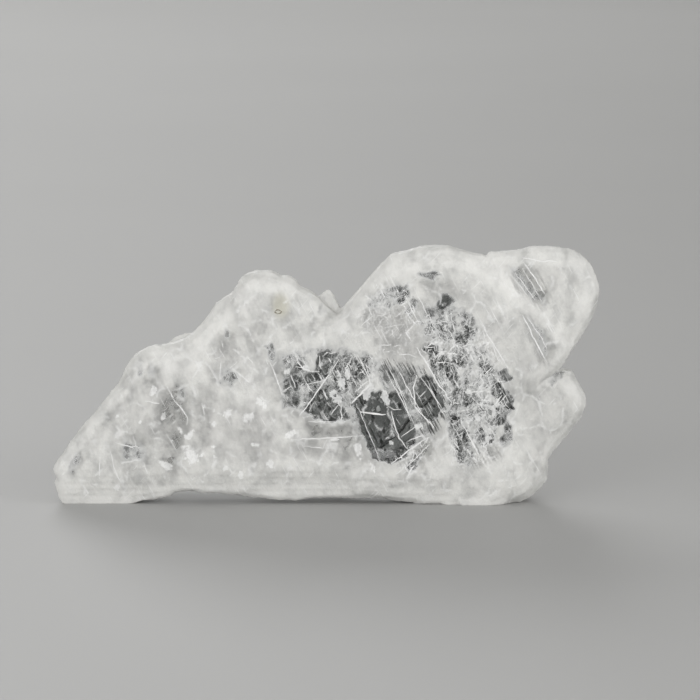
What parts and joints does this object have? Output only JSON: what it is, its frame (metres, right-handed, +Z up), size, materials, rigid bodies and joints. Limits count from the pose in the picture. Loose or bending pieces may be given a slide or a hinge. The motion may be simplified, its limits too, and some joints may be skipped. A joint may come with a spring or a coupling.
{
  "type": "selenite slab",
  "caption": "Natural clear-to-milky gypsum slab of intergrown tabular crystals, standing upright on its long lower edge.",
  "frame": {"origin": "on the surface that the slab stands on, under the middle of its bounding box", "axes": "+X along the slab to the viewer's right, +Y through its thickness away from the viewer, +Z up"},
  "size_m": [0.1202, 0.0166, 0.057],
  "materials": {
    "selenite": "clear cleavage windows in milky, pearly gypsum with white broken rims"
  },
  "bodies": {
    "root": {"selenite_slab": "selenite"}
  },
  "joints": []
}
